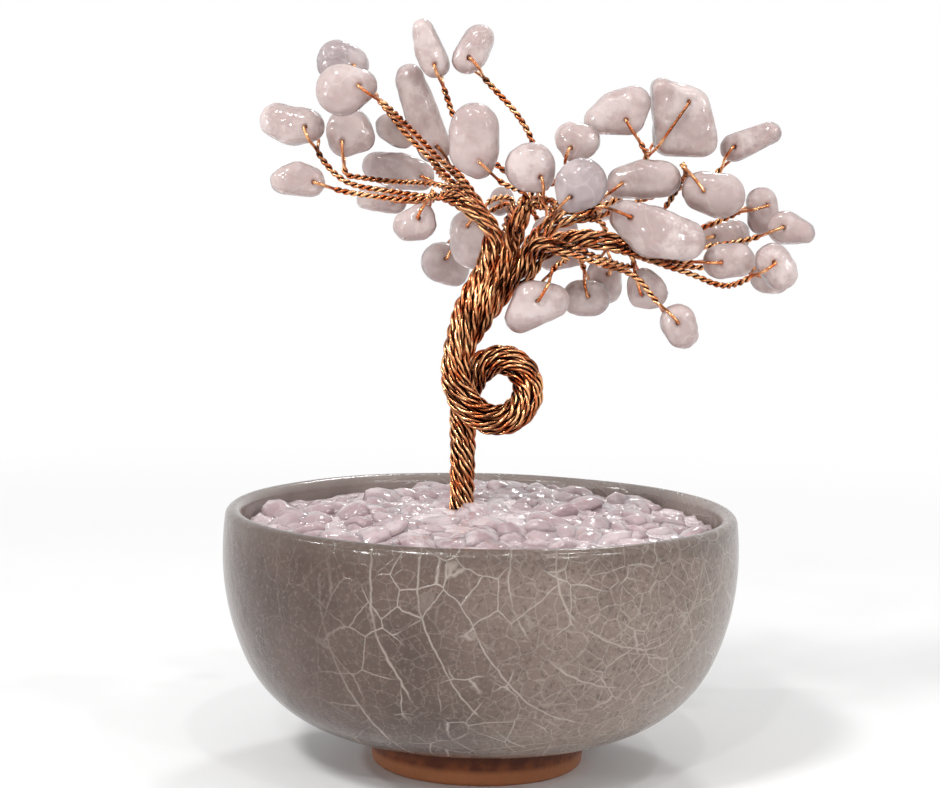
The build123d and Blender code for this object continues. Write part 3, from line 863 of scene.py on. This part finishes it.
def chip_sizes(chip, outward):
    """Half a chip's thickness, and how far its edge is from the bore on the side of the wire."""
    place, axis = bores[chip]
    shape = merged_copy(chip)
    half = max(abs((vertex.co - place).dot(axis)) for vertex in shape.verts)
    tree = BVHTree.FromBMesh(shape)
    edge = 0.0
    for share in (-1, -0.5, 0, 0.5, 1):
        direction = Matrix.Rotation(share * chip_swing, 3, axis) @ outward
        hit = tree.ray_cast(place + direction * far_away, -direction)
        edge = max(edge, far_away - hit[3])
    shape.free()
    return half, edge


def chip_wire(chip, route, inner_line, start, end_ahead):
    """The one wire of a chip: up its bough, through the bore and back, twisted with itself to the neck."""
    place, axis = bores[chip]
    out = seen(*route[-1]) - place
    outward = (out - axis * out.dot(axis)).normalized()
    half, edge = chip_sizes(chip, outward)
    rise = half + lasso_clearance + wire_width / 2
    tip = place + outward * (edge + lasso_length)
    shoulder = edge - shoulder_share * half
    steps = [start + end_ahead * twig_lead] + [seen(*step) for step in route] + [tip + outward * neck_run]
    twig = smooth_line([start] + spaced(steps) + [tip])
    near, far = twisted_pair(inner_line[:-1] + twig, axis, line_step * len(twig))

    def lasso(side, first):
        bend = min(lasso_bend, shoulder / 2)
        reach = [(edge + lasso_length * 0.7, 0.6 * wire_width), (edge, 0.8 * rise), (shoulder, rise)]
        hook = [(bend, rise), (0, rise), (0, rise - bend), (0, 0)]
        return smooth_line([first] + [place + outward * u + axis * side * v for u, v in reach + hook])

    return near + lasso(1, near[-1])[1:] + (far + lasso(-1, far[-1])[1:])[::-1][1:]


def add_boughs_and_twigs():
    """All the wires of each bough, from inside the trunk to their chips."""
    for bough, routes in twigs_pixels_share.items():
        inside, outside = bough_line(bough)
        end, across, beside, ahead = bough_end(bough)
        starts = twig_starts(bough)
        inner_lines = wound_about(smooth_line(inside + outside), across, starts, bough_turn)
        wires = []
        for number, (route, slot, inner) in enumerate(zip(routes, starts, inner_lines), 1):
            start = end + across * slot.x + beside * slot.y
            wires.append(chip_wire(f"{bough}_chip_{number}", route, inner, start, ahead))
        mesh = wire_mesh(bough + "_wires", wires)
        as_piece(bough + "_wires", mesh, "copper_wire", "stand", bough + "_bough", bough + "_twigs")


def add_trunk():
    """The rope of the trunk: pairs of wire wound round a core, with its loop, widening towards the crown."""
    root = seen(*trunk_loop_pixels_share[0])
    foot = Vector((root.x, root.y, trunk_foot_height))
    half_way = (foot + root) / 2
    loop = [foot, half_way] + [seen(*place) for place in trunk_loop_pixels_share]
    upper = upper_trunk_route()
    line = smooth_line(loop + upper[1:])
    upper_length = sum((after - before).length for before, after in zip(upper, upper[1:]))
    whole_length = sum((after - before).length for before, after in zip(line, line[1:]))
    lower_length = whole_length - upper_length
    across = crown_directions()[0]
    strands = [line]
    for k in range(trunk_pairs):
        path = []
        for middle, aside, sideways, run in carried(line, across):
            if run < upper_length:
                width = width_at(1 - run / upper_length, upper_trunk_width_share)
            else:
                width = width_at((whole_length - run) / lower_length, lower_trunk_width_share)
            reach = trunk_radius * width - pair_width / 2
            reach *= 1 - tuck_share * exp(-((run / tuck_length) ** 2))
            wander = noise.noise(Vector((k * wander_apart, run / wander_length, 0.5))) * trunk_wander
            wound = (run - trunk_unwound * (1 - exp(-run / trunk_unwound))) / trunk_turn
            turn = tau * (k / trunk_pairs + wound + wander)
            path.append(middle + (aside * cos(turn) + sideways * sin(turn)) * reach * (1 - abs(wander)))
        strands += twisted_pair(path, across, 0.0)
    mesh = wire_mesh("trunk_rope", strands, {0: core_width})
    as_piece("trunk_rope", mesh, "copper_wire", "stand", "trunk")


def with_even_faces(shape, voxel):
    """The same solid with small faces of one size, as a new shape."""
    mesh = mesh_from(shape, "even")
    holder = in_scene("even", mesh)
    modifier = holder.modifiers.new("even", "REMESH")
    modifier.mode = "VOXEL"
    modifier.voxel_size = voxel
    even = bmesh.new()
    even.from_object(holder, bpy.context.evaluated_depsgraph_get())
    bpy.data.objects.remove(holder)
    bpy.data.meshes.remove(mesh)
    return even


def add_chip(chip):
    """A tumbled stone: the chip's solid worn round and uneven, with its bore kept open."""
    place, axis = bores[chip]
    shape = with_even_faces(merged_copy(chip), chip_voxel)
    every_way = {"use_axis_x": True, "use_axis_y": True, "use_axis_z": True}
    for turn in range(chip_wear):
        bmesh.ops.smooth_vert(shape, verts=shape.verts, factor=0.5, **every_way)
    shape.normal_update()
    moves = []
    for vertex in shape.verts:
        lump = noise.noise(vertex.co / chip_lump_length)
        dimple = noise.noise(vertex.co / chip_dimple_length + place * chip_dimple_shift)
        proud = min(lump * chip_lump + dimple * chip_dimple + chip_swell, chip_most_proud)
        moves.append(vertex.normal * proud)
    for vertex, move in zip(shape.verts, moves):
        vertex.co += move
        out = vertex.co - place
        aside = out - axis * out.dot(axis)
        if aside.length < bore_dip_radius:
            dip = bore_dip * (1 - aside.length / bore_dip_radius)
            share = max(0.0, aside.length - cad_bore_radius) / (bore_dip_radius - cad_bore_radius)
            drawn_in = bore_radius + share * (bore_dip_radius - bore_radius)
            vertex.co += aside.normalized() * (drawn_in - aside.length)
            vertex.co -= axis * copysign(dip, out.dot(axis))
    shape.normal_update()
    # Painted shade: 'rim' records how far each place faces sideways from the bore's axis, for the darkened edges
    # of the stone.
    rim = shape.verts.layers.float.new("rim")
    for vertex in shape.verts:
        vertex[rim] = 1 - abs(vertex.normal.dot(axis))
    mesh = mesh_from(shape, chip + "_stone")
    as_piece(chip + "_stone", mesh, slot_of[chip], chip, chip)


# Bowl and what fills it
def arc(start, ahead, end, steps):
    """Places along the arc that leaves a start one way and meets an end, and its direction there."""
    chord = end - start
    turn = 2 * ahead.angle_signed(chord)
    side = Vector((-ahead.y, ahead.x))
    radius = chord.length_squared / (2 * chord.dot(side))
    centre = start + side * radius
    places = [centre + Matrix.Rotation(-turn * k / steps, 2) @ (start - centre) for k in range(1, steps + 1)]
    return places, Matrix.Rotation(-turn, 2) @ ahead


def bowl_profile():
    """The bowl's outline from its foot's recess, round the outside and the lip, to its floor's middle."""
    foot_inside = Vector((foot_radius - foot_wall, 0))
    recess = Vector((foot_radius - foot_wall, foot_recess))
    rounding_middle = Vector((foot_radius - foot_rounding, foot_rounding))
    turns = [pi / 2 * k / foot_steps for k in range(foot_steps + 1)]
    foot = [rounding_middle + Vector((sin(turn), -cos(turn))) * foot_rounding for turn in turns]
    base = Vector((foot_top_radius, foot_height))
    shoulder = Vector((shoulder_radius, shoulder_height))
    belly = Vector((bowl_radius, belly_height))
    lip_inside = Vector((lip_radius - bowl_wall / 2, bowl_height - lip_drop))
    lip_outside = Vector((lip_inside.x + bowl_wall - lip_drop / 4, bowl_height - lip_drop))
    side, ahead = arc(belly, Vector((0, -1)), shoulder, side_steps)
    under, ahead = arc(shoulder, ahead, base, under_steps)
    outside = [base] + under[-2::-1] + side[::-1] + [belly]
    neck = arc(belly, Vector((0, 1)), lip_outside, neck_steps)[0]
    crest = Vector(((lip_inside.x + lip_outside.x) / 2, bowl_height))
    half = (lip_outside.x - lip_inside.x) / 2
    turns = [pi * k / lip_steps for k in range(1, lip_steps)]
    rim = [crest + Vector((half * cos(turn), lip_drop * sin(turn) - lip_drop)) for turn in turns]
    inner_belly = Vector((bowl_radius - bowl_wall, belly_height))
    inner_shoulder = Vector((shoulder_radius - bowl_wall, shoulder_height))
    floor_edge = Vector((floor_radius, floor_height))
    inner_side, ahead = arc(inner_belly, Vector((0, -1)), inner_shoulder, inner_side_steps)
    inner_under = arc(inner_shoulder, ahead, floor_edge, inner_under_steps)[0]
    inside = [lip_inside, inner_belly] + inner_side + inner_under
    foot_outline = [Vector((0, foot_recess)), recess, foot_inside] + foot
    return foot_outline + outside + neck + rim + inside + [Vector((0, floor_height))]


def add_bowl():
    """The thrown bowl, spun from its profile, with the glaze's thick lower edge and a slight unevenness."""
    shape = bmesh.new()
    verts = [shape.verts.new((place.x, 0, place.y)) for place in bowl_profile()]
    edges = [shape.edges.new(pair) for pair in zip(verts, verts[1:])]
    bmesh.ops.spin(shape, geom=verts + edges, cent=(0, 0, 0), axis=(0, 0, 1), angle=tau, steps=bowl_steps,
                   use_merge=True)
    bmesh.ops.remove_doubles(shape, verts=shape.verts, dist=merge_reach)
    bmesh.ops.recalc_face_normals(shape, faces=shape.faces)
    shape.normal_update()
    moves = []
    for vertex in shape.verts:
        place = vertex.co
        outside = max(0.0, vertex.normal.dot(Vector((place.x, place.y, 0)).normalized()))
        wobble = thrown_wobble * noise.noise(place / wobble_length) * min(1.0, place.z / foot_height)
        waver = roll_waver * noise.noise(Vector((place.x, place.y, 0)) / roll_waver_length)
        above = place.z - glaze_edge_height - glaze_roll - waver
        roll = glaze_roll * exp(-((above / glaze_roll_height) ** 2)) * outside
        moves.append(vertex.normal * (wobble + roll))
    for vertex, move in zip(shape.verts, moves):
        vertex.co += move
    as_piece("glazed_bowl", mesh_from(shape, "glazed_bowl"), "crackle_glaze", "stand", "bowl")


def bed_rise(place):
    """How far the gravel is heaped above the resin's edge: in the middle, and more towards the back."""
    out = hypot(place.x, place.y) / gravel_radius
    middle = mound_rise * max(0.0, 1 - out * out)
    return middle + rear_mound_rise * exp(-(((place.xy - rear_mound_place).length / rear_mound_width) ** 2))


def steady_random(number, low=0.0, high=1.0):
    """The same number between two bounds each time, but with no order from one to the next."""
    return low + (high - low) * ((sin(number * 12.9898 + 4.1) * 43758.5453) % 1)


def add_gravel():
    """Tumbled quartz gravel, laid in the sunflower's spiral, each stone cut flat on a few sides."""
    root = seen(*trunk_loop_pixels_share[0])
    places = []
    for k in range(gravel_count):
        out = gravel_radius * sqrt((k + 0.5) / gravel_count)
        turn = k * pi * (3 - sqrt(5))
        size = gravel_size * steady_random(k, gravel_least_share, gravel_most_share)
        places.append((out * cos(turn), out * sin(turn), size))
    long, least_wide, most_wide, thick = gravel_stretch_share
    shape = bmesh.new()
    for k, (x, y, size) in enumerate(places + edge_stones):
        place = Vector((x, y, 0))
        if (place.xy - root.xy).length < trunk_radius + gravel_off_trunk:
            continue
        place.z = resin_top + bed_rise(place) + size * steady_random(k + 0.5, *gravel_rise_share)
        stretch = Matrix.Diagonal((long, steady_random(k + 0.2, least_wide, most_wide), thick, 1.0))
        roll = steady_random(k + 0.3, -gravel_tilt, gravel_tilt)
        pitch = steady_random(k + 0.4, -gravel_tilt, gravel_tilt)
        tilt = Euler((roll, pitch, tau * steady_random(k + 0.6))).to_matrix().to_4x4()
        made = bmesh.ops.create_icosphere(shape, subdivisions=2, radius=1.0)
        for cut_number in range(gravel_cuts):
            numbers = [k + 7.1 * cut_number + share for share in (0.11, 0.37, 0.73)]
            cut = Vector([steady_random(number, -0.5, 0.5) for number in numbers]).normalized()
            for vertex in made["verts"]:
                vertex.co -= cut * max(0.0, vertex.co.dot(cut) - gravel_cut_share)
        stone = Matrix.Translation(place) @ tilt @ stretch @ Matrix.Scale(size, 4)
        bmesh.ops.transform(shape, verts=made["verts"], matrix=stone)
    as_piece("loose_gravel", mesh_from(shape, "loose_gravel"), "rose_quartz_gravel", "stand", "gravel")


def add_resin():
    """The clear resin: the bed's solid, its top heaped like the gravel, rippled, and kept at its edge by the
    bowl's wall.
    """
    shape = with_even_faces(merged_copy("resin_bed"), resin_voxel)
    for vertex in shape.verts:
        place = vertex.co
        if place.z > resin_top - resin_voxel:
            ripple = resin_ripple * noise.noise(place / resin_ripple_length)
            at_wall = max(0.0, 1 - ((bowl_radius - bowl_wall - hypot(place.x, place.y)) / resin_edge))
            vertex.co.z += (bed_rise(place) + resin_cover + ripple) * (1 - at_wall)
    as_piece("resin_surface", mesh_from(shape, "resin_surface"), "clear_resin", "stand", "resin_bed")


def dress_plaster():
    node = frame["nodes"]["plaster_core"]
    node.data.materials.clear()
    node.data.materials.append(finishes["plaster"])


# The room: floor, light and camera
def looked_at(tree):
    """1 for what the camera sees, straight or in metal and glass, and 0 for light on its way to the tree."""
    rays = tree.nodes.new("ShaderNodeLightPath").outputs
    share = rays["Is Camera Ray"]
    for kind in ("Is Glossy Ray", "Is Transmission Ray"):
        larger = tree.nodes.new("ShaderNodeMath")
        larger.operation = "MAXIMUM"
        tree.links.new(share, larger.inputs[0])
        tree.links.new(rays[kind], larger.inputs[1])
        share = larger.outputs[0]
    return share


def add_floor():
    """A pale floor that fades into the pale background."""
    shape = bmesh.new()
    bmesh.ops.create_circle(shape, cap_ends=True, segments=96, radius=floor_reach)
    floor = in_scene("floor", mesh_from(shape, "floor"))
    finish = Finish("pale_floor")
    finish.set(base_color=floor_colour, roughness=floor_roughness)
    glow = finish.add("ShaderNodeEmission")
    finish.fill(glow, color=white)
    away = finish.vectors("LENGTH", finish.object_place)["Value"]
    faded = finish.between(away, fade_start, fade_end)
    mixed = finish.add("ShaderNodeMixShader")
    finish.put(mixed.inputs[0], finish.times(faded, looked_at(finish.tree)))
    finish.put(mixed.inputs[1], finish.shader.outputs[0])
    finish.put(mixed.inputs[2], glow.outputs[0])
    output = next(node for node in finish.tree.nodes if node.type == "OUTPUT_MATERIAL")
    finish.put(output.inputs["Surface"], mixed.outputs[0])
    floor.data.materials.append(finish.material)


def add_world():
    """A white background, with a plain soft light from all round that is dimmer than it looks."""
    world = bpy.data.worlds.new("room")
    bpy.context.scene.world = world
    world.use_nodes = True
    nodes, links = world.node_tree.nodes, world.node_tree.links
    background = nodes["Background"]
    background.inputs["Color"].default_value = white
    strength = nodes.new("ShaderNodeMapRange")
    strength.inputs["To Min"].default_value = room_light
    strength.inputs["To Max"].default_value = 1.0
    links.new(looked_at(world.node_tree), strength.inputs["Value"])
    links.new(strength.outputs["Result"], background.inputs["Strength"])


def add_lamp(name, place, size, power):
    """A square soft light at a place, aimed at the middle of the tree."""
    lamp = in_scene(name, bpy.data.lights.new(name, "AREA"))
    lamp.data.size = size
    lamp.data.energy = power
    lamp.location = place
    lamp.rotation_euler = (lamp_aim - Vector(place)).to_track_quat("-Z", "Y").to_euler()


def add_camera():
    ahead, right, upward = view_directions()
    camera = in_scene("camera", bpy.data.cameras.new("camera"))
    camera.data.lens = camera.data.sensor_width * view_focal_pixels / view_width_pixels
    camera.data.clip_start = 0.01
    turn = Matrix((right, upward, -ahead)).transposed()
    camera.matrix_world = Matrix.Translation(view_place) @ turn.to_4x4()
    bpy.context.scene.camera = camera


add_bowl()
add_resin()
add_gravel()
dress_plaster()
add_trunk()
add_boughs_and_twigs()
for chip in bores:
    add_chip(chip)
add_floor()
add_world()
for lamp in lamps:
    add_lamp(*lamp)
for place in spark_places:
    add_lamp("spark_lamp", place, spark_size, spark_power)
add_camera()
bpy.context.scene.view_settings.view_transform = "Standard"
